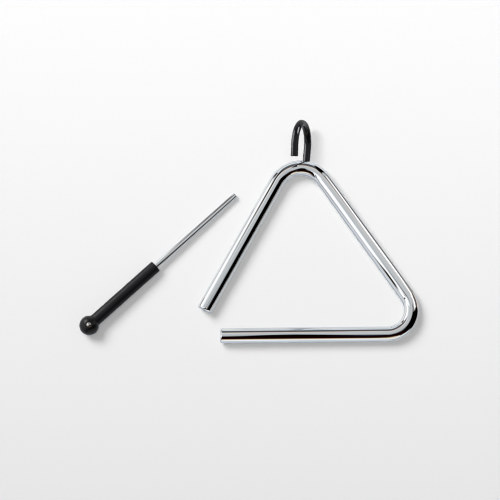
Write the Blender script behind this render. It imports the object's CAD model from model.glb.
import math

import bmesh
import bpy
import numpy as np
from mathutils import Matrix, Vector


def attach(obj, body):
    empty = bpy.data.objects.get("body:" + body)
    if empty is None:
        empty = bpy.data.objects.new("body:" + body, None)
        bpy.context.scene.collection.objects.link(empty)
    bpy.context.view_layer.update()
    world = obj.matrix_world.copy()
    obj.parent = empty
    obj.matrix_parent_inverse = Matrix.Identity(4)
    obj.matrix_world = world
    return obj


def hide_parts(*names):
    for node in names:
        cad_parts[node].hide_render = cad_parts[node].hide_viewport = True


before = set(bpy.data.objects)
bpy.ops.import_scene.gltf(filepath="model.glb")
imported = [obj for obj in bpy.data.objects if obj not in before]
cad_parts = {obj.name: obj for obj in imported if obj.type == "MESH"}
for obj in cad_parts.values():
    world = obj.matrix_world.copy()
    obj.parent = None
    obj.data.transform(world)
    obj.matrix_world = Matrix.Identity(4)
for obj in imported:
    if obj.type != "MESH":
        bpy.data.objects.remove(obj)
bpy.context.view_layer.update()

MM = 0.001
scene = bpy.context.scene


# ------------------------------------------------------------------ dimensions, in mm

BAR_R = 4.75
SIDE_BOTTOM, SIDE_RIGHT, SIDE_LEFT = 154.6, 148.6, 141.0
ANGLE_RIGHT, ANGLE_TOP = math.radians(55.4), math.radians(64.5)
BEND_TOP, BEND_RIGHT = 17.7, 15.5
GAP_LEFT, GAP_BOTTOM = 18.8, 19.3
END_ROUND = 1.4
SLEEVE_R, WIRE_R = 2.35, 1.5
HOOK_R, HOOK_STEM, HOOK_SWEEP, HOOK_TAIL = 13.0, 9.5, math.radians(189), 8.2
ROD_R, ROD_LEN, ROD_TAIL = 1.9, 124.8, 3.6
BALL_R, GRIP_R, GRIP_LEN, GRIP_FROM = 6.2, 3.9, 56.5, 4.8
PIN_R = 1.7

ORIGIN = Vector((-37.95343, -65.34752))
SET_R = BEND_RIGHT / math.tan(ANGLE_RIGHT / 2)
SET_T = BEND_TOP / math.tan(ANGLE_TOP / 2)
RUN_BOTTOM = SIDE_BOTTOM - SET_R - GAP_BOTTOM
RUN_RIGHT = SIDE_RIGHT - SET_R - SET_T
RUN_LEFT = SIDE_LEFT - SET_T - GAP_LEFT
CENTRE_R = Vector((SIDE_BOTTOM - SET_R, BEND_RIGHT)) + ORIGIN
CENTRE_T = Vector((
    CENTRE_R.x + (BEND_RIGHT - BEND_TOP) * math.sin(ANGLE_RIGHT) - RUN_RIGHT * math.cos(ANGLE_RIGHT),
    CENTRE_R.y + (BEND_RIGHT - BEND_TOP) * math.cos(ANGLE_RIGHT) + RUN_RIGHT * math.sin(ANGLE_RIGHT),
))

STEM_LEAN, HOOK_TURN = math.radians(5.8), math.radians(71)
STEM = (
    Matrix.Translation((CENTRE_T.x + 3.64, CENTRE_T.y + 21.1, BAR_R))
    @ Matrix.Rotation(-STEM_LEAN, 4, "Z")
    @ Matrix.Rotation(-math.pi / 2, 4, "X")
    @ Matrix.Rotation(math.pi + HOOK_TURN, 4, "Z")
)
BEATER_TURN = math.radians(41.63)
BEATER_DIP = math.asin((BALL_R - ROD_R) / ROD_LEN)
BEATER = (
    Matrix.Translation((ORIGIN.x - 63.22, ORIGIN.y + 7.29, BALL_R))
    @ Matrix.Rotation(BEATER_TURN, 4, "Z")
    @ Matrix.Rotation(BEATER_DIP, 4, "Y")
)


# ------------------------------------------------------------------ mesh tools

def make_object(name, verts, faces, matrix=None, smooth=True):
    """A mesh object from points in mm; matrix puts them in the part's frame."""
    pts = np.asarray(verts, float)
    if matrix is not None:
        m = np.array(matrix)
        pts = pts @ m[:3, :3].T + m[:3, 3]
    mesh = bpy.data.meshes.new(name)
    mesh.from_pydata((pts * MM).tolist(), [], faces)
    bm = bmesh.new()
    bm.from_mesh(mesh)
    bmesh.ops.remove_doubles(bm, verts=bm.verts, dist=1e-8)
    bmesh.ops.recalc_face_normals(bm, faces=bm.faces)
    for f in bm.faces:
        f.smooth = smooth
    bm.to_mesh(mesh)
    bm.free()
    mesh.validate()
    obj = bpy.data.objects.new(name, mesh)
    scene.collection.objects.link(obj)
    return obj


def rings_to_faces(counts, seg, closed=False):
    """Quads between rings, and a fan where a ring is a single point."""
    faces, start = [], [0]
    for c in counts:
        start.append(start[-1] + c)
    pairs = list(zip(range(len(counts) - 1), range(1, len(counts))))
    if closed:
        pairs.append((len(counts) - 1, 0))
    for a, b in pairs:
        for j in range(seg):
            k = (j + 1) % seg
            if counts[a] == 1 and counts[b] == 1:
                continue
            if counts[a] == 1:
                faces.append((start[a], start[b] + j, start[b] + k))
            elif counts[b] == 1:
                faces.append((start[a] + j, start[b], start[a] + k))
            else:
                faces.append((start[a] + j, start[b] + j, start[b] + k, start[a] + k))
    return faces


def lathe(name, profile, seg, matrix, closed=False, shape=None):
    """Revolves (axial, radius) points about the local X axis. shape(x, r, angles) may vary a ring's radius."""
    verts, counts = [], []
    ang = np.linspace(0, 2 * math.pi, seg, endpoint=False)
    for x, r in profile:
        if r < 1e-9:
            verts.append((x, 0.0, 0.0))
            counts.append(1)
            continue
        rr = np.full(seg, float(r)) if shape is None else shape(x, r, ang)
        verts += [(x, q * math.cos(a), q * math.sin(a)) for a, q in zip(ang, rr)]
        counts.append(seg)
    return make_object(name, verts, rings_to_faces(counts, seg, closed), matrix)


def arc(cx, cr, radius, a0, a1, n):
    """Points of a circular arc in the (axial, radius) plane."""
    return [
        (cx + radius * math.cos(a), cr + radius * math.sin(a))
        for a in np.linspace(math.radians(a0), math.radians(a1), n)
    ]


def spaced(a, b, step):
    n = max(int(math.ceil(abs(b - a) / step)), 1)
    return list(np.linspace(a, b, n + 1))


def evaluated(obj, name=None):
    """Replaces obj's mesh by the one its modifiers give, and drops the modifiers."""
    deps = bpy.context.evaluated_depsgraph_get()
    new = bpy.data.meshes.new_from_object(obj.evaluated_get(deps))
    obj.modifiers.clear()
    old = obj.data
    obj.data = new
    new.name = name or obj.name
    bpy.data.meshes.remove(old)
    return obj


def cut(obj, cutter):
    """Subtracts a closed cutter from obj exactly and removes the cutter."""
    mod = obj.modifiers.new("cut", "BOOLEAN")
    mod.operation, mod.solver, mod.object = "DIFFERENCE", "EXACT", cutter
    bpy.context.view_layer.update()
    evaluated(obj)
    mesh = cutter.data
    bpy.data.objects.remove(cutter)
    bpy.data.meshes.remove(mesh)
    return obj


def exact_normals(obj, analytic, angle=32.0):
    """Gives every corner on a known surface its true normal, and keeps crisp edges elsewhere."""
    mesh = obj.data
    for p in mesh.polygons:
        p.use_smooth = True
    mesh.set_sharp_from_angle(angle=math.radians(angle))
    n = len(mesh.loops)
    normals = np.zeros(n * 3, np.float32)
    mesh.corner_normals.foreach_get("vector", normals)
    normals = normals.reshape(-1, 3)
    vi = np.zeros(n, np.int32)
    mesh.loops.foreach_get("vertex_index", vi)
    co = np.zeros(len(mesh.vertices) * 3, np.float32)
    mesh.vertices.foreach_get("co", co)
    co = co.reshape(-1, 3) / MM
    pi = np.zeros(n, np.int32)
    for p in mesh.polygons:
        pi[p.loop_start:p.loop_start + p.loop_total] = p.index
    centres = np.zeros(len(mesh.polygons) * 3, np.float32)
    mesh.polygons.foreach_get("center", centres)
    centres = centres.reshape(-1, 3) / MM
    on_face, _ = analytic(centres)
    on_vert, exact = analytic(co)
    use = on_face[pi] & on_vert[vi]
    normals[use] = exact[vi[use]]
    mesh.normals_split_custom_set(normals.tolist())
    return obj


# ------------------------------------------------------------------ the bar

def bar_stations():
    """(centre, outward normal, distance along) of the bent bar's centreline, from the bottom cut end to the left one."""
    out, s = [], 0.0
    a0, a1 = -math.pi / 2, math.pi / 2 - ANGLE_RIGHT
    a2 = a1 + math.pi - ANGLE_TOP
    start = CENTRE_R + Vector((-RUN_BOTTOM, -BEND_RIGHT))
    for d in spaced(END_ROUND, RUN_BOTTOM, 2.5)[:-1]:
        out.append((start + Vector((d, 0)), a0))
    for a in spaced(a0, a1, math.radians(1.5))[:-1]:
        out.append((CENTRE_R + BEND_RIGHT * Vector((math.cos(a), math.sin(a))), a))
    p = CENTRE_R + BEND_RIGHT * Vector((math.cos(a1), math.sin(a1)))
    t = Vector((-math.sin(a1), math.cos(a1)))
    for d in spaced(0, RUN_RIGHT, 2.5)[:-1]:
        out.append((p + t * d, a1))
    for a in spaced(a1, a2, math.radians(1.5))[:-1]:
        out.append((CENTRE_T + BEND_TOP * Vector((math.cos(a), math.sin(a))), a))
    p = CENTRE_T + BEND_TOP * Vector((math.cos(a2), math.sin(a2)))
    t = Vector((-math.sin(a2), math.cos(a2)))
    for d in spaced(0, RUN_LEFT - END_ROUND, 2.5):
        out.append((p + t * d, a2))
    return out


def bar_distance(points):
    """For points in mm: (distance from the bar's centreline, unit vector away from it)."""
    p = np.asarray(points, float)
    best = np.full(len(p), 1e9)
    away = np.zeros_like(p)

    def consider(q, valid):
        v = p - q
        d = np.linalg.norm(v, axis=1)
        d_test = np.where(valid, d, 1e9)
        m = d_test < best
        best[m] = d_test[m]
        away[m] = (v / np.maximum(d, 1e-9)[:, None])[m]

    a1 = math.pi / 2 - ANGLE_RIGHT
    a2 = a1 + math.pi - ANGLE_TOP
    straight = [
        (CENTRE_R + Vector((-RUN_BOTTOM, -BEND_RIGHT)), Vector((1, 0)), RUN_BOTTOM),
        (CENTRE_R + BEND_RIGHT * Vector((math.cos(a1), math.sin(a1))), Vector((-math.sin(a1), math.cos(a1))), RUN_RIGHT),
        (CENTRE_T + BEND_TOP * Vector((math.cos(a2), math.sin(a2))), Vector((-math.sin(a2), math.cos(a2))), RUN_LEFT),
    ]
    for q0, t, length in straight:
        q0, t = np.array(q0), np.array(t)
        along = (p[:, :2] - q0) @ t
        q = np.column_stack([q0 + np.clip(along, 0, length)[:, None] * t, np.full(len(p), BAR_R)])
        consider(q, (along > -1e-6) & (along < length + 1e-6))
    for centre, radius, b0, b1 in ((CENTRE_R, BEND_RIGHT, -math.pi / 2, a1), (CENTRE_T, BEND_TOP, a1, a2)):
        c = np.array(centre)
        a = np.arctan2(p[:, 1] - c[1], p[:, 0] - c[0])
        ac = np.clip(a, b0, b1)
        q = np.column_stack([c[0] + radius * np.cos(ac), c[1] + radius * np.sin(ac), np.full(len(p), BAR_R)])
        consider(q, (a > b0 - 1e-6) & (a < b1 + 1e-6))
    return best, away


def build_bar():
    seg = 96
    stations = bar_stations()
    phi = np.linspace(0, 2 * math.pi, seg, endpoint=False)
    verts, counts = [], []

    def ring(centre, angle, radius):
        if radius < 1e-9:
            verts.append((centre[0], centre[1], BAR_R))
            counts.append(1)
            return
        n = (math.cos(angle), math.sin(angle))
        for f in phi:
            c, s = radius * math.cos(f), radius * math.sin(f)
            verts.append((centre[0] + n[0] * c, centre[1] + n[1] * c, BAR_R + s))
        counts.append(seg)

    # a rounded end: the flat face, then the edge's quarter round
    def end_profile():
        flat = [(0.0, (BAR_R - END_ROUND) * f) for f in (0.0, 0.3, 0.6, 0.85, 0.97, 1.0)]
        edge = [
            (END_ROUND - END_ROUND * math.cos(b), BAR_R - END_ROUND + END_ROUND * math.sin(b))
            for b in np.linspace(0, math.pi / 2, 15)[1:-1]
        ]
        return flat + edge

    first, a_first = stations[0]
    t = Vector((-math.sin(a_first), math.cos(a_first)))
    face = first - t * END_ROUND
    for d, r in end_profile():
        ring(face + t * d, a_first, r)
    for c, a in stations:
        ring(c, a, BAR_R)
    last, a_last = stations[-1]
    t = Vector((-math.sin(a_last), math.cos(a_last)))
    face = last + t * END_ROUND
    for d, r in reversed(end_profile()):
        ring(face - t * d, a_last, r)
    bar = make_object("chrome_bar", verts, rings_to_faces(counts, seg))

    # the stepped hole that seats the hook, cut along the stem's axis
    stem = STEM @ Matrix.Rotation(-math.pi / 2, 4, "Y")
    step = [(-4.4, 0.0), (-4.4, 1.55), (-0.15, 1.55), (-0.15, 2.42), (6.0, 2.42), (6.0, 0.0)]
    cutter = lathe("hole_cutter", step, 72, stem)
    cut(bar, cutter)

    def surface(points):
        d, away = bar_distance(points)
        return np.abs(d - BAR_R) < 0.03, away.astype(np.float32)

    return exact_normals(bar, surface)


# ------------------------------------------------------------------ the hook

def hook_line(start):
    """(point, normal in the hook's plane) along the hook's wire, in the stem's frame, from the height start."""
    out = [((0.0, 0.0, z), (-1.0, 0.0, 0.0)) for z in spaced(start, HOOK_STEM, 0.7)[:-1]]
    for a in spaced(0, HOOK_SWEEP, math.radians(2.25))[:-1]:
        n = (-math.cos(a), 0.0, math.sin(a))
        out.append(((HOOK_R + HOOK_R * n[0], 0.0, HOOK_STEM + HOOK_R * n[2]), n))
    n = np.array((-math.cos(HOOK_SWEEP), 0.0, math.sin(HOOK_SWEEP)))
    t = np.array((math.sin(HOOK_SWEEP), 0.0, math.cos(HOOK_SWEEP)))
    e = np.array((HOOK_R, 0.0, HOOK_STEM)) + HOOK_R * n
    for d in spaced(0, HOOK_TAIL, 0.7):
        out.append((tuple(e + t * d), tuple(n)))
    return out


def hook_length(line):
    pts = np.array([p for p, _ in line])
    return np.concatenate([[0], np.cumsum(np.linalg.norm(np.diff(pts, axis=0), axis=1))])


def build_sleeve():
    seg = 64
    line = hook_line(0.0)
    dist = hook_length(line)
    total = dist[-1]
    phi = np.linspace(0, 2 * math.pi, seg, endpoint=False)
    verts, counts = [], []

    def ring(i, radius, shift=0.0):
        p, n = np.array(line[i][0]), np.array(line[i][1])
        b = np.array((0.0, 1.0, 0.0))
        t = np.cross(b, n)
        # a soft tube slid over bent wire: slightly uneven along its length and round its wall
        s = dist[i] + shift
        soft = 1.0 if radius > 2 else 0.0
        fade = min(s / 1.5, (total - s) / 1.5, 1.0) if 0 < s < total else 0.0
        wave = -0.012 * (1 + math.sin(0.83 * s + 0.6)) - 0.008 * (1 + math.sin(2.1 * s + 1.9))
        for f in phi:
            r = radius + soft * fade * (wave - 0.008 * (1 + math.sin(2 * f + 0.31 * s)) - 0.004 * (1 + math.sin(3 * f - 0.7 * s)))
            q = p + t * shift + n * r * math.cos(f) + b * r * math.sin(f)
            verts.append(tuple(q))
        counts.append(seg)

    lip = 0.16
    bore = WIRE_R + 0.008
    # outside, from the seat to the cut end
    ring(0, SLEEVE_R - lip)
    ring(0, SLEEVE_R, 0.0 + 0.12)
    for i in range(1, len(line) - 1):
        ring(i, SLEEVE_R)
    last = len(line) - 1
    for b in np.linspace(90, 0, 6):
        a = math.radians(b)
        ring(last, SLEEVE_R - lip + lip * math.sin(a), -lip + lip * math.cos(a))
    # the cut face, slightly dished between the wire and the lip, then the bore back to the seat
    ring(last, (SLEEVE_R + bore) / 2, -0.03)
    ring(last, bore + 0.05, -0.02)
    ring(last, bore, -0.07)
    for i in range(len(line) - 2, 0, -1):
        ring(i, bore)
    ring(0, bore)
    return make_object("hook_sleeve_tube", verts, rings_to_faces(counts, seg, closed=True), STEM)


def build_wire():
    seg = 40
    line = hook_line(-4.2)
    phi = np.linspace(0, 2 * math.pi, seg, endpoint=False)
    verts, counts = [], []

    def ring(i, radius, shift=0.0):
        p, n = np.array(line[i][0]), np.array(line[i][1])
        b = np.array((0.0, 1.0, 0.0))
        t = np.cross(b, n)
        if radius < 1e-9:
            verts.append(tuple(p + t * shift))
            counts.append(1)
            return
        for f in phi:
            verts.append(tuple(p + t * shift + n * radius * math.cos(f) + b * radius * math.sin(f)))
        counts.append(seg)

    e = 0.22
    ring(0, 0.0)
    ring(0, (WIRE_R - e) * 0.6)
    for b in np.linspace(0, 90, 5):
        a = math.radians(b)
        ring(0, WIRE_R - e + e * math.sin(a), e - e * math.cos(a))
    for i in range(1, len(line) - 1):
        ring(i, WIRE_R)
    last = len(line) - 1
    for b in np.linspace(90, 0, 5):
        a = math.radians(b)
        ring(last, WIRE_R - e + e * math.sin(a), -e + e * math.cos(a) - 0.01)
    ring(last, (WIRE_R - e) * 0.6, -0.03)
    ring(last, 0.0, -0.03)
    return make_object("hook_wire_core", verts, rings_to_faces(counts, seg), STEM)


# ------------------------------------------------------------------ the beater

def build_rod():
    tip = 0.5
    profile = [(-ROD_TAIL, 0.0), (-ROD_TAIL, ROD_R * 0.6), (-ROD_TAIL, ROD_R - 0.15), (-ROD_TAIL + 0.15, ROD_R)]
    profile += [(x, ROD_R) for x in spaced(-ROD_TAIL + 0.4, ROD_LEN - tip, 2.5)]
    profile += [
        (ROD_LEN - tip + tip * math.cos(b), ROD_R - tip + tip * math.sin(b))
        for b in np.linspace(math.pi / 2, 0, 11)[1:]
    ]
    profile += [(ROD_LEN, (ROD_R - tip) * f) for f in (0.9, 0.6, 0.3, 0.0)]
    return lathe("beater_rod_wire", profile, 64, BEATER)


def build_grip():
    e = 0.7
    bore = ROD_R + 0.01
    outer = [(GRIP_FROM + 0.001, GRIP_R - 0.15), (GRIP_FROM + 0.15, GRIP_R)]
    outer += [(x, GRIP_R) for x in spaced(GRIP_FROM + 0.8, GRIP_LEN - e, 0.8)]
    outer += [
        (GRIP_LEN - e + e * math.cos(b), GRIP_R - e + e * math.sin(b))
        for b in np.linspace(math.pi / 2, 0, 11)[1:]
    ]
    # the open end is a little dished towards the rod, with a soft lip at the bore
    outer += [(GRIP_LEN - 0.02, GRIP_R - 1.0), (GRIP_LEN - 0.10, bore + 0.45), (GRIP_LEN - 0.18, bore + 0.2), (GRIP_LEN - 0.40, bore)]
    inner = [(x, bore) for x in spaced(GRIP_LEN - 1.2, GRIP_FROM + 1.0, 4.0)]
    inner += [(GRIP_FROM + 0.001, bore)]

    def moulded(x, r, ang):
        if r < 3.5 or x < GRIP_FROM + 1 or x > GRIP_LEN - 1:
            return np.full(len(ang), float(r))
        wave = 0.010 * (1 + math.sin(0.21 * x + 1.0)) + 0.004 * (1 + math.sin(0.9 * x))
        return r - wave - 0.004 * (1 + np.sin(2 * ang + 0.1 * x))

    return lathe("beater_grip_tube", outer + inner, 72, BEATER, closed=True, shape=moulded)


def build_ball():
    # the ball is turned about the pin's axis, so its recess is part of the profile
    recess_r, floor = PIN_R + 0.2, BALL_R - 0.75
    lip = 0.22
    rim = math.sqrt(BALL_R ** 2 - recess_r ** 2)
    profile = [(floor, 0.0), (floor, 0.8), (floor, recess_r - 0.25), (floor + 0.07, recess_r - 0.07), (floor + 0.25, recess_r)]
    # the recess's edge, blended on to the sphere
    start = math.acos((rim + 0.0) / BALL_R)
    a_out = start + lip / BALL_R
    edge0 = Vector((floor + 0.25, recess_r))
    corner = Vector((rim, recess_r))
    out_pt = Vector((BALL_R * math.cos(a_out), BALL_R * math.sin(a_out)))
    for k in np.linspace(0, 1, 8)[1:]:
        q = edge0.lerp(corner, k).lerp(corner.lerp(out_pt, k), k)
        profile.append((q.x, q.y))
    for a in np.linspace(a_out, math.pi, 72)[1:-1]:
        profile.append((BALL_R * math.cos(a), BALL_R * math.sin(a)))
    profile.append((-BALL_R, 0.0))
    up = BEATER @ Matrix.Rotation(-math.pi / 2, 4, "Y")
    ball = lathe("beater_ball_body", profile, 96, up)
    # the flat that the grip butts on, with the rod's blind bore behind it
    step = [(-ROD_TAIL - 0.05, 0.0), (-ROD_TAIL - 0.05, ROD_R + 0.01), (GRIP_FROM, ROD_R + 0.01), (GRIP_FROM, 9.0), (12.0, 9.0), (12.0, 0.0)]
    cut(ball, lathe("flat_cutter", step, 72, BEATER))
    for p in ball.data.polygons:
        p.use_smooth = True
    ball.data.set_sharp_from_angle(angle=math.radians(35))
    return ball


def build_pin():
    # a low domed head in the recess, on a shank that crosses the rod
    floor = BALL_R - 0.75
    r_dome = PIN_R * 2 * 0.62
    centre = floor + 0.72 - r_dome
    a1 = math.acos((floor + 0.02 - centre) / r_dome)
    profile = [(centre + r_dome * math.cos(a), r_dome * math.sin(a)) for a in np.linspace(0, a1, 20)]
    profile += [(floor + 0.005, profile[-1][1] - 0.03), (floor + 0.002, 0.85), (floor - 0.3, 0.8)]
    profile += [(x, 0.8) for x in spaced(floor - 1.0, -3.3, 1.2)]
    profile += [(-3.4, 0.7), (-3.4, 0.0)]
    up = BEATER @ Matrix.Rotation(-math.pi / 2, 4, "Y")
    return lathe("ball_pin_head", profile, 56, up)


# ------------------------------------------------------------------ materials

def new_material(name):
    mat = bpy.data.materials.new(name)
    mat.use_nodes = True
    tree = mat.node_tree
    tree.nodes.clear()
    out = tree.nodes.new("ShaderNodeOutputMaterial")
    shader = tree.nodes.new("ShaderNodeBsdfPrincipled")
    tree.links.new(shader.outputs["BSDF"], out.inputs["Surface"])
    coord = tree.nodes.new("ShaderNodeTexCoord")
    return mat, tree, shader, coord


def noise(tree, vector, scale, detail=3.0, rough=0.5, stretch=None):
    n = tree.nodes.new("ShaderNodeTexNoise")
    n.inputs["Scale"].default_value = scale
    n.inputs["Detail"].default_value = detail
    n.inputs["Roughness"].default_value = rough
    if stretch is not None:
        m = tree.nodes.new("ShaderNodeMapping")
        m.inputs["Scale"].default_value = stretch
        tree.links.new(vector, m.inputs["Vector"])
        vector = m.outputs["Vector"]
    tree.links.new(vector, n.inputs["Vector"])
    return n.outputs["Fac"]


def span(tree, value, low, high, from_low=0.3, from_high=0.7):
    m = tree.nodes.new("ShaderNodeMapRange")
    m.inputs["From Min"].default_value = from_low
    m.inputs["From Max"].default_value = from_high
    m.inputs["To Min"].default_value = low
    m.inputs["To Max"].default_value = high
    tree.links.new(value, m.inputs["Value"])
    return m.outputs["Result"]


def blend_colour(tree, fac, a, b):
    m = tree.nodes.new("ShaderNodeMix")
    m.data_type = "RGBA"
    m.inputs[6].default_value = (*a, 1)
    m.inputs[7].default_value = (*b, 1)
    tree.links.new(fac, m.inputs[0])
    return m.outputs[2]


def bump(tree, shader, height, strength, distance, chain=None):
    b = tree.nodes.new("ShaderNodeBump")
    b.inputs["Strength"].default_value = strength
    b.inputs["Distance"].default_value = distance
    tree.links.new(height, b.inputs["Height"])
    if chain is not None:
        tree.links.new(chain, b.inputs["Normal"])
    tree.links.new(b.outputs["Normal"], shader.inputs["Normal"])
    return b.outputs["Normal"]


def chrome(name, light, dark, rough=(0.004, 0.014), grain=0.0):
    mat, tree, shader, coord = new_material(name)
    obj = coord.outputs["Object"]
    shader.inputs["Metallic"].default_value = 1.0
    tone = noise(tree, obj, 70.0, 4.0, 0.55)
    tree.links.new(blend_colour(tree, span(tree, tone, 0.0, 1.0), dark, light), shader.inputs["Base Color"])
    haze = noise(tree, obj, 160.0, 5.0, 0.65)
    tree.links.new(span(tree, haze, rough[0], rough[1]), shader.inputs["Roughness"])
    ripple = noise(tree, obj, 45.0, 2.0, 0.4)
    n = bump(tree, shader, ripple, 0.007, 0.001)
    if grain:
        fine = noise(tree, obj, 900.0, 3.0, 0.6)
        bump(tree, shader, fine, grain, 0.0001, n)
    return mat


def plastic(name, dark, light, rough, scale, bumps, level=0.5, bloom=0.0, tint_scale=60.0):
    mat, tree, shader, coord = new_material(name)
    obj = coord.outputs["Object"]
    tone = noise(tree, obj, tint_scale, 4.0, 0.6)
    tree.links.new(blend_colour(tree, span(tree, tone, 0.0, 1.0), dark, light), shader.inputs["Base Color"])
    worn = noise(tree, obj, tint_scale * 3.1, 4.0, 0.6)
    tree.links.new(span(tree, worn, rough[0], rough[1]), shader.inputs["Roughness"])
    shader.inputs["Specular IOR Level"].default_value = level
    # the faint grey bloom that soft black plastic gets along its edges
    shader.inputs["Sheen Weight"].default_value = bloom
    shader.inputs["Sheen Roughness"].default_value = 0.3
    shader.inputs["Sheen Tint"].default_value = (0.80, 0.90, 1.0, 1)
    n = None
    for (sc, strength, dist, detail) in bumps:
        h = noise(tree, obj, sc * scale, detail, 0.55)
        n = bump(tree, shader, h, strength, dist, n)
    return mat


def drawn_steel(name):
    mat, tree, shader, coord = new_material(name)
    obj = coord.outputs["Object"]
    shader.inputs["Metallic"].default_value = 1.0
    tone = noise(tree, obj, 400.0, 4.0, 0.6)
    tree.links.new(blend_colour(tree, span(tree, tone, 0.0, 1.0), (0.42, 0.42, 0.43), (0.60, 0.60, 0.61)), shader.inputs["Base Color"])
    tree.links.new(span(tree, noise(tree, obj, 900.0, 4.0, 0.6), 0.25, 0.45), shader.inputs["Roughness"])
    bump(tree, shader, noise(tree, obj, 2500.0, 3.0, 0.6), 0.25, 0.00005)
    return mat


# ------------------------------------------------------------------ the pieces

CHROME_BAR = chrome("chrome_plate", (0.83, 0.84, 0.86), (0.79, 0.80, 0.82))
CHROME_ROD = chrome("chrome_rod_plate", (0.81, 0.82, 0.84), (0.76, 0.77, 0.79), (0.006, 0.018), 0.015)
CHROME_PIN = chrome("pin_plate", (0.62, 0.60, 0.58), (0.46, 0.44, 0.42), (0.05, 0.12), 0.10)
SLEEVE_BLACK = plastic("black_soft_tube", (0.0015, 0.0015, 0.002), (0.004, 0.004, 0.005), (0.04, 0.10), 1.0,
                       [(240.0, 0.05, 0.0004, 3.0), (1800.0, 0.03, 0.00005, 2.0)], 0.20, 0.02)
GRIP_BLACK = plastic("black_rubber", (0.002, 0.002, 0.0025), (0.005, 0.005, 0.006), (0.34, 0.46), 1.0,
                     [(500.0, 0.05, 0.0003, 4.0), (5000.0, 0.25, 0.00004, 3.0)], 0.20)
BALL_BLACK = plastic("black_satin", (0.002, 0.002, 0.0025), (0.005, 0.005, 0.006), (0.26, 0.36), 1.0,
                     [(400.0, 0.05, 0.0003, 3.0), (4500.0, 0.15, 0.00004, 3.0)], 0.25)
WIRE_STEEL = drawn_steel("drawn_wire")

PIECES = [
    (build_bar, CHROME_BAR, "triangle", "bar", "chrome_bar"),
    (build_sleeve, SLEEVE_BLACK, "hook", "hook_sleeve", "hook_plastic"),
    (build_wire, WIRE_STEEL, "hook", "hook_wire", "hook_steel"),
    (build_rod, CHROME_ROD, "beater", "beater_rod", "chrome_rod"),
    (build_grip, GRIP_BLACK, "beater", "beater_grip", "grip_rubber"),
    (build_ball, BALL_BLACK, "beater", "beater_ball", "ball_plastic"),
    (build_pin, CHROME_PIN, "beater", "ball_pin", "pin_steel"),
]
made = {}
for build, material, body, node, slot in PIECES:
    piece = made[node] = build()
    piece.data.materials.clear()
    piece.data.materials.append(material)
    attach(piece, body)
    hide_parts(node)


# ------------------------------------------------------------------ floor and light

def build_floor():
    size, n = 6.0, 60
    xs = np.linspace(-size / 2, size / 2, n)
    verts = [(x, y, 0.0) for y in xs for x in xs]
    faces = [(j * n + i, j * n + i + 1, (j + 1) * n + i + 1, (j + 1) * n + i) for j in range(n - 1) for i in range(n - 1)]
    mesh = bpy.data.meshes.new("floor_sheet")
    mesh.from_pydata(verts, [], faces)
    floor = bpy.data.objects.new("floor_sheet", mesh)
    scene.collection.objects.link(floor)
    mat, tree, shader, coord = new_material("pale_floor")
    shader.inputs["Roughness"].default_value = 1.0
    shader.inputs["Specular IOR Level"].default_value = 0.0
    split = tree.nodes.new("ShaderNodeSeparateXYZ")
    tree.links.new(coord.outputs["Object"], split.inputs["Vector"])
    ramp = tree.nodes.new("ShaderNodeValToRGB")
    place = span(tree, split.outputs["Y"], 0.0, 1.0, -0.172, 0.152)
    tree.links.new(place, ramp.inputs["Fac"])
    stops = [(0.0, 0.800), (0.20, 0.842), (0.36, 0.874), (0.53, 0.910), (0.76, 0.960), (1.0, 1.0)]
    ramp.color_ramp.elements[0].position, ramp.color_ramp.elements[1].position = stops[0][0], stops[-1][0]
    for pos, v in stops[1:-1]:
        ramp.color_ramp.elements.new(pos)
    for e, (pos, v) in zip(sorted(ramp.color_ramp.elements, key=lambda q: q.position), stops):
        e.position = pos
        e.color = (v, v, v, 1)
    tree.links.new(ramp.outputs["Color"], shader.inputs["Base Color"])
    floor.data.materials.append(mat)
    # reflections look past the sheet, at the lower half of the studio dome
    floor.visible_glossy = False
    return floor


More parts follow.
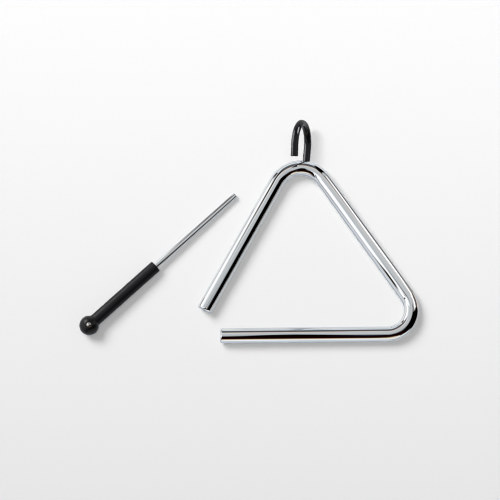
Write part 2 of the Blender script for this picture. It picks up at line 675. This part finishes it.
# The studio around the object: soft boxes, grey walls and black flags, drawn on a dome that only reflections see.
# Each card: zenith angle from and to, azimuth range at the first and at the second, softness of the
# sides and of the ends (degrees), colour at the first and at the second.
DOME_R, DOME_C = 350.0, (35.8, -15.2)
SKY = (0.61, 0.63, 0.64)
CARDS = [
    (105.5, 189.5, 76, 197, 80, 240.5, 2, 25, (1.10, 1.10, 1.08), (0.40, 0.42, 0.44)),  # under_back_left_wall
    (94, 165, 209, 273.5, 179, 321, 1.5, 6, (0.88, 0.90, 0.94), (0.26, 0.32, 0.38)),  # under_front_left_wall
    (83, 175, 266.5, 402.5, 325, 426.5, 1.5, 11.5, (0.50, 0.46, 0.42), (0.66, 0.74, 0.80)),  # under_right_wall
    (89.5, 174, 47.5, 93.5, 15.5, 108.5, 1.5, 13.5, (0.88, 0.88, 0.86), (0.58, 0.64, 0.70)),  # under_back_right_wall
    (39, 83, 57, 154.5, 72.5, 120.5, 10, 8, (0.06, 0.04, 0.02), (1.18, 1.26, 1.30)),  # mid_back_wall
    (36, 71.5, 76.5, 137, 44.5, 116.5, 1.5, 21, (0.14, 0.06, 0.04), (0.06, 0.14, 0.18)),  # mid_back_flag
    (56, 110.5, 135.5, 204.5, 141, 199.5, 2.5, 3.5, (1.36, 1.36, 1.34), (0.64, 0.66, 0.68)),  # low_left_softbox
    (40, 73.5, 146.5, 237, 145, 199, 13.5, 25, (0.92, 0.96, 0.96), (1.42, 1.38, 1.34)),  # mid_left_softbox
    (20, 66.5, 187, 234.5, 204, 222.5, 1.5, 11.5, (1.16, 1.16, 1.16), (1.26, 1.26, 1.28)),  # mid_front_left_softbox
    (41.5, 72, 219, 222.5, 214, 220.5, 1.5, 7, (0.02, 0.02, 0.00), (0.00, 0.00, 0.00)),  # mid_front_left_flag
    (10, 13, 177, 291, 194, 225.5, 7, 1.5, (0.00, 0.06, 0.26), (1.04, 1.22, 1.08)),  # high_front_left_wall
    (27, 98, 228.5, 309.5, 220, 317.5, 1.5, 9, (0.00, 0.00, 0.00), (0.00, 0.00, 0.00)),  # mid_front_flag
    (2, 37.5, 242.5, 285.5, 253.5, 304.5, 15.5, 25, (0.00, 0.00, 0.00), (0.00, 0.00, 0.00)),  # high_front_flag
    (23.5, 97, 235.5, 339, 222.5, 379.5, 2, 24.5, (0.00, 0.00, 0.00), (0.02, 0.00, 0.00)),  # mid_front_right_flag
    (67.5, 96, 242.5, 276, 232.5, 335.5, 25, 14, (0.94, 0.62, 0.34), (1.08, 1.36, 1.50)),  # low_front_softbox
    (64, 92.5, 283.5, 298, 271.5, 320, 2.5, 21.5, (0.96, 0.68, 0.40), (0.94, 1.06, 1.12)),  # low_front_right_wall
    (23.5, 104, 308, 364, 326, 359.5, 8.5, 6.5, (0.00, 0.00, 0.00), (0.00, 0.00, 0.00)),  # mid_right_flag
    (63, 105, 390.5, 394, 356.5, 383.5, 7, 1.5, (1.00, 1.02, 1.02), (1.36, 1.18, 1.00)),  # low_right_softbox
    (35.5, 70, -6.5, 14.5, 2.5, 28.5, 1.5, 1.5, (0.32, 0.28, 0.26), (2.40, 2.42, 2.34)),  # mid_right_softbox
    (51, 54, -7.5, 17, -3.5, 34.5, 3, 22.5, (0.00, 0.00, 0.04), (1.52, 1.36, 1.18)),  # mid_right_wall
    (56, 91, 35.5, 49.5, 26, 39.5, 1.5, 25, (1.00, 0.94, 0.88), (2.62, 2.66, 2.70)),  # low_back_right_softbox
    (77.5, 126, 36, 53.5, 22.5, 29.5, 17, 25, (0.00, 0.00, 0.00), (0.02, 0.00, 0.00)),  # under_back_right_flag
    (32, 86, 59.5, 67, 51.5, 70, 2.5, 7, (0.00, 0.00, 0.00), (0.00, 0.00, 0.00)),  # mid_back_right_flag
    (35, 49.5, 118, 131, 113, 142, 7.5, 6, (0.00, 0.00, 0.02), (0.00, 0.00, 0.00)),  # mid_back_left_flag
    (27.5, 32, 315.5, 341.5, 320.5, 322.5, 20, 22.5, (0.86, 0.92, 0.96), (0.26, 0.30, 0.32)),  # high_front_right_wall
    (64.5, 98.5, 1.5, 19.5, 1.5, 32, 3, 7, (0.20, 0.18, 0.22), (0.10, 0.06, 0.04)),  # low_right_wall
    (32, 59, 56, 62, 38.5, 40.5, 1.5, 2, (0.04, 0.08, 0.12), (0.28, 0.18, 0.14)),  # mid_back_right_wall
    (27, 30, 110, 146.5, 32.5, 130.5, 25, 20, (1.70, 1.78, 1.76), (1.30, 1.00, 0.60)),  # high_back_softbox
    (81.5, 114, 85, 86.5, 88.5, 91.5, 2.5, 1.5, (0.00, 0.00, 0.00), (0.00, 0.06, 0.18)),  # under_back_flag
    (33.5, 33, 278.5, 290.5, 283.5, 287.5, 6.5, 9.5, (0.14, 0.18, 0.32), (0.46, 0.66, 1.08)),  # high_front_wall
    (62.5, 81.5, 305.5, 309, 304.5, 310.5, 2.5, 1.5, (0.06, 0.02, 0.02), (0.02, 0.04, 0.04)),  # low_front_right_flag
    (64, 87.5, 124.5, 131.5, 127, 138.5, 2, 12.5, (0.10, 0.04, 0.02), (0.00, 0.00, 0.02)),  # low_back_left_flag
]


def soft(x):
    x = np.clip(x, 0, 1)
    return x * x * (3 - 2 * x)


def studio(az, za):
    light = np.empty(az.shape + (3,))
    light[...] = SKY
    for z0, z1, l0, r0, l1, r1, sa, sz, c0, c1 in CARDS:
        c0, c1 = np.array(c0), np.array(c1)
        t = np.clip((za - z0) / max(z1 - z0, 1e-3), 0, 1)
        left, right = l0 + (l1 - l0) * t, r0 + (r1 - r0) * t
        off = (az - (left + right) / 2 + 180) % 360 - 180
        side = soft(((right - left) / 2 - np.abs(off)) / sa + 0.5)
        ends = soft((za - z0) / sz + 0.5) * soft((z1 - za) / sz + 0.5)
        m = (side * ends)[..., None]
        light = light * (1 - m) + (c0 + (c1 - c0) * t[..., None]) * m
    return light


def build_dome():
    na, nz = 720, 360
    az = np.arange(na) * 360.0 / na
    za = np.linspace(0.3, 179.7, nz)
    grid_a, grid_z = np.meshgrid(az, za)
    a, z = np.radians(grid_a), np.radians(grid_z)
    x = DOME_C[0] + DOME_R * np.sin(z) * np.cos(a)
    y = DOME_C[1] + DOME_R * np.sin(z) * np.sin(a)
    h = DOME_R * np.cos(z)
    pts = np.stack([x, y, h], -1).reshape(-1, 3) * MM
    faces = []
    for j in range(nz - 1):
        for i in range(na):
            k = (i + 1) % na
            faces.append((j * na + i, (j + 1) * na + i, (j + 1) * na + k, j * na + k))
    faces.append(tuple(range(na)))
    faces.append(tuple((nz - 1) * na + i for i in range(na)))
    mesh = bpy.data.meshes.new("studio_dome")
    mesh.from_pydata(pts.tolist(), [], faces)
    colours = studio(grid_a, grid_z).reshape(-1, 3)
    attribute = mesh.attributes.new("light", "FLOAT_COLOR", "POINT")
    rgba = np.column_stack([colours, np.ones(len(colours))]).astype(np.float32)
    attribute.data.foreach_set("color", rgba.ravel())
    dome = bpy.data.objects.new("studio_dome", mesh)
    scene.collection.objects.link(dome)
    mat = bpy.data.materials.new("studio_light")
    mat.use_nodes = True
    tree = mat.node_tree
    tree.nodes.clear()
    out = tree.nodes.new("ShaderNodeOutputMaterial")
    emit = tree.nodes.new("ShaderNodeEmission")
    att = tree.nodes.new("ShaderNodeAttribute")
    att.attribute_name = "light"
    tree.links.new(att.outputs["Color"], emit.inputs["Color"])
    # what the chrome throws on to the floor is damped, so that no bright fringe runs along the bars
    path = tree.nodes.new("ShaderNodeLightPath")
    damped = tree.nodes.new("ShaderNodeMapRange")
    damped.inputs["To Min"].default_value = 1.0
    damped.inputs["To Max"].default_value = 0.6
    tree.links.new(path.outputs["Diffuse Depth"], damped.inputs["Value"])
    tree.links.new(damped.outputs["Result"], emit.inputs["Strength"])
    tree.links.new(emit.outputs["Emission"], out.inputs["Surface"])
    mesh.materials.append(mat)
    dome.visible_camera = False
    dome.visible_diffuse = False
    dome.visible_transmission = False
    dome.visible_volume_scatter = False
    dome.visible_shadow = False
    return dome


build_floor()
build_dome()

world = bpy.data.worlds.new("studio_air")
scene.world = world
world.use_nodes = True
world.node_tree.nodes["Background"].inputs["Color"].default_value = (1.0, 1.0, 1.0, 1)
world.node_tree.nodes["Background"].inputs["Strength"].default_value = 0.15


def softbox(name, towards, share, width, casters=None):
    """A far soft light. towards points from the light to the table; share is its part of the floor's light.

    casters names the pieces that throw a shadow in it, where that isn't all of them.
    """
    towards = Vector(towards)
    light = bpy.data.lights.new(name, "SUN")
    light.energy = share * math.pi * towards.length / abs(towards.z)
    light.angle = math.radians(width)
    obj = bpy.data.objects.new(name, light)
    scene.collection.objects.link(obj)
    obj.rotation_euler = towards.to_track_quat("-Z", "Y").to_euler()
    obj.visible_glossy = False
    if casters:
        group = bpy.data.collections.new(name + "_casters")
        for node in casters:
            group.objects.link(made[node])
        obj.light_linking.blocker_collection = group


softbox("key_softbox", (0.66, -0.62, -1.0), 0.50, 30, ["bar", "beater_rod", "beater_grip", "beater_ball"])
softbox("hook_softbox", (0.50, -0.22, -1.0), 0.26, 12, ["hook_sleeve"])
softbox("top_softbox", (0.02, -0.03, -1.0), 0.08, 20)


def streak_light(name, aim, azimuth, zenith, width, radiance, receivers):
    """A soft box inside the dome that only the named black pieces see, for the bright bands along their edges."""
    away = 250.0
    radius = away * math.tan(math.radians(width / 2))
    a, z = math.radians(azimuth), math.radians(zenith)
    out = Vector((math.sin(z) * math.cos(a), math.sin(z) * math.sin(a), math.cos(z)))
    light = bpy.data.lights.new(name, "AREA")
    light.shape = "DISK"
    light.size = 2 * radius * MM
    light.energy = radiance * math.pi * math.pi * (radius * MM) ** 2
    obj = bpy.data.objects.new(name, light)
    scene.collection.objects.link(obj)
    obj.location = (Vector(aim) + away * out) * MM
    obj.rotation_euler = (-out).to_track_quat("-Z", "Y").to_euler()
    obj.visible_camera = False
    group = bpy.data.collections.new(name + "_receivers")
    for node in receivers:
        group.objects.link(made[node])
    obj.light_linking.receiver_collection = group


streak_light("left_streak_box", (32, 55, 17), 155, 74, 56, 9.0, ["hook_sleeve"])
streak_light("right_streak_box", (32, 55, 17), 40, 70, 30, 22.0, ["hook_sleeve"])
streak_light("handle_streak_box", (-80, -40, 6), 140, 62, 40, 5.0, ["beater_grip", "beater_ball"])


# ------------------------------------------------------------------ camera

cam = bpy.data.cameras.new("view")
cam.lens, cam.sensor_width, cam.sensor_height, cam.sensor_fit = 150.0, 36.0, 36.0, "HORIZONTAL"
cam.clip_start, cam.clip_end = 0.01, 50.0
cam_obj = bpy.data.objects.new("view", cam)
scene.collection.objects.link(cam_obj)
turn, elevation, distance = math.radians(0.592), math.radians(83.0), 1.3271
right = Vector((math.cos(turn), -math.sin(turn), 0))
ahead = Vector((math.sin(turn), math.cos(turn), 0))
look = ahead * math.cos(elevation) - Vector((0, 0, 1)) * math.sin(elevation)
up = right.cross(look)
target = Vector((0.00087, -0.01039, 0.0))
spot = target - look * distance
cam_obj.matrix_world = Matrix((
    (right.x, up.x, -look.x, spot.x),
    (right.y, up.y, -look.y, spot.y),
    (right.z, up.z, -look.z, spot.z),
    (0, 0, 0, 1),
))
scene.camera = cam_obj

# a crisp picture: the pixel filter is as narrow as the photograph is sharp
scene.cycles.filter_width = 1.15
scene.view_settings.view_transform = "Standard"
scene.view_settings.look = "None"
scene.view_settings.exposure = 0.0
scene.view_settings.gamma = 1.0

bpy.context.view_layer.update()
